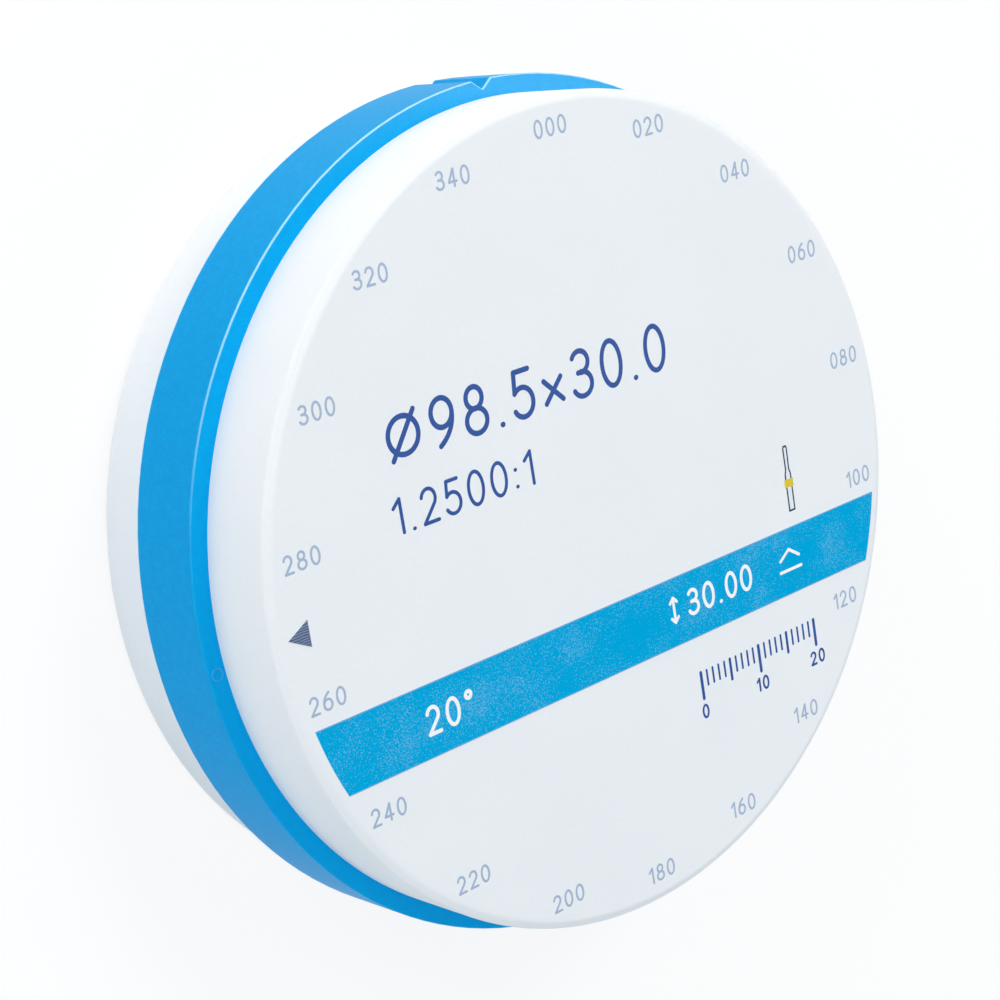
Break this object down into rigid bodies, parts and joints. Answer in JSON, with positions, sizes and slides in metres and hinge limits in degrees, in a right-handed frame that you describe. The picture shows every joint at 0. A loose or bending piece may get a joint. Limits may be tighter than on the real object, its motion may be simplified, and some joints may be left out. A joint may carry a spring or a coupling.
{
  "type": "dental milling disc",
  "caption": "Round white ceramic blank in a notched plastic clamping ring, from which dental crowns and bridges are milled.",
  "frame": {"origin": "centre of the disc's back face, the face that it lies on", "axes": "+Z along the disc's axis, from the back face towards the printed face; +Y towards the index notch in the ring; +X along the printed band"},
  "size_m": [0.0984, 0.0984, 0.03],
  "materials": {
    "ceramic": "matte, chalky, unfired",
    "ring_plastic": "satin moulded plastic, fine grain",
    "band_ink": "matte printed ink, light blue with paler speckle",
    "navy_ink": "matte printed ink, dark blue",
    "pale_ink": "matte printed ink, pale grey-blue",
    "white_ink": "matte printed ink, white",
    "yellow_ink": "matte printed ink, yellow"
  },
  "bodies": {
    "root": {"zirconia_blank": "ceramic", "holder_ring": "ring_plastic", "printed_band": "band_ink", "index_triangle": "navy_ink"}
  },
  "joints": []
}
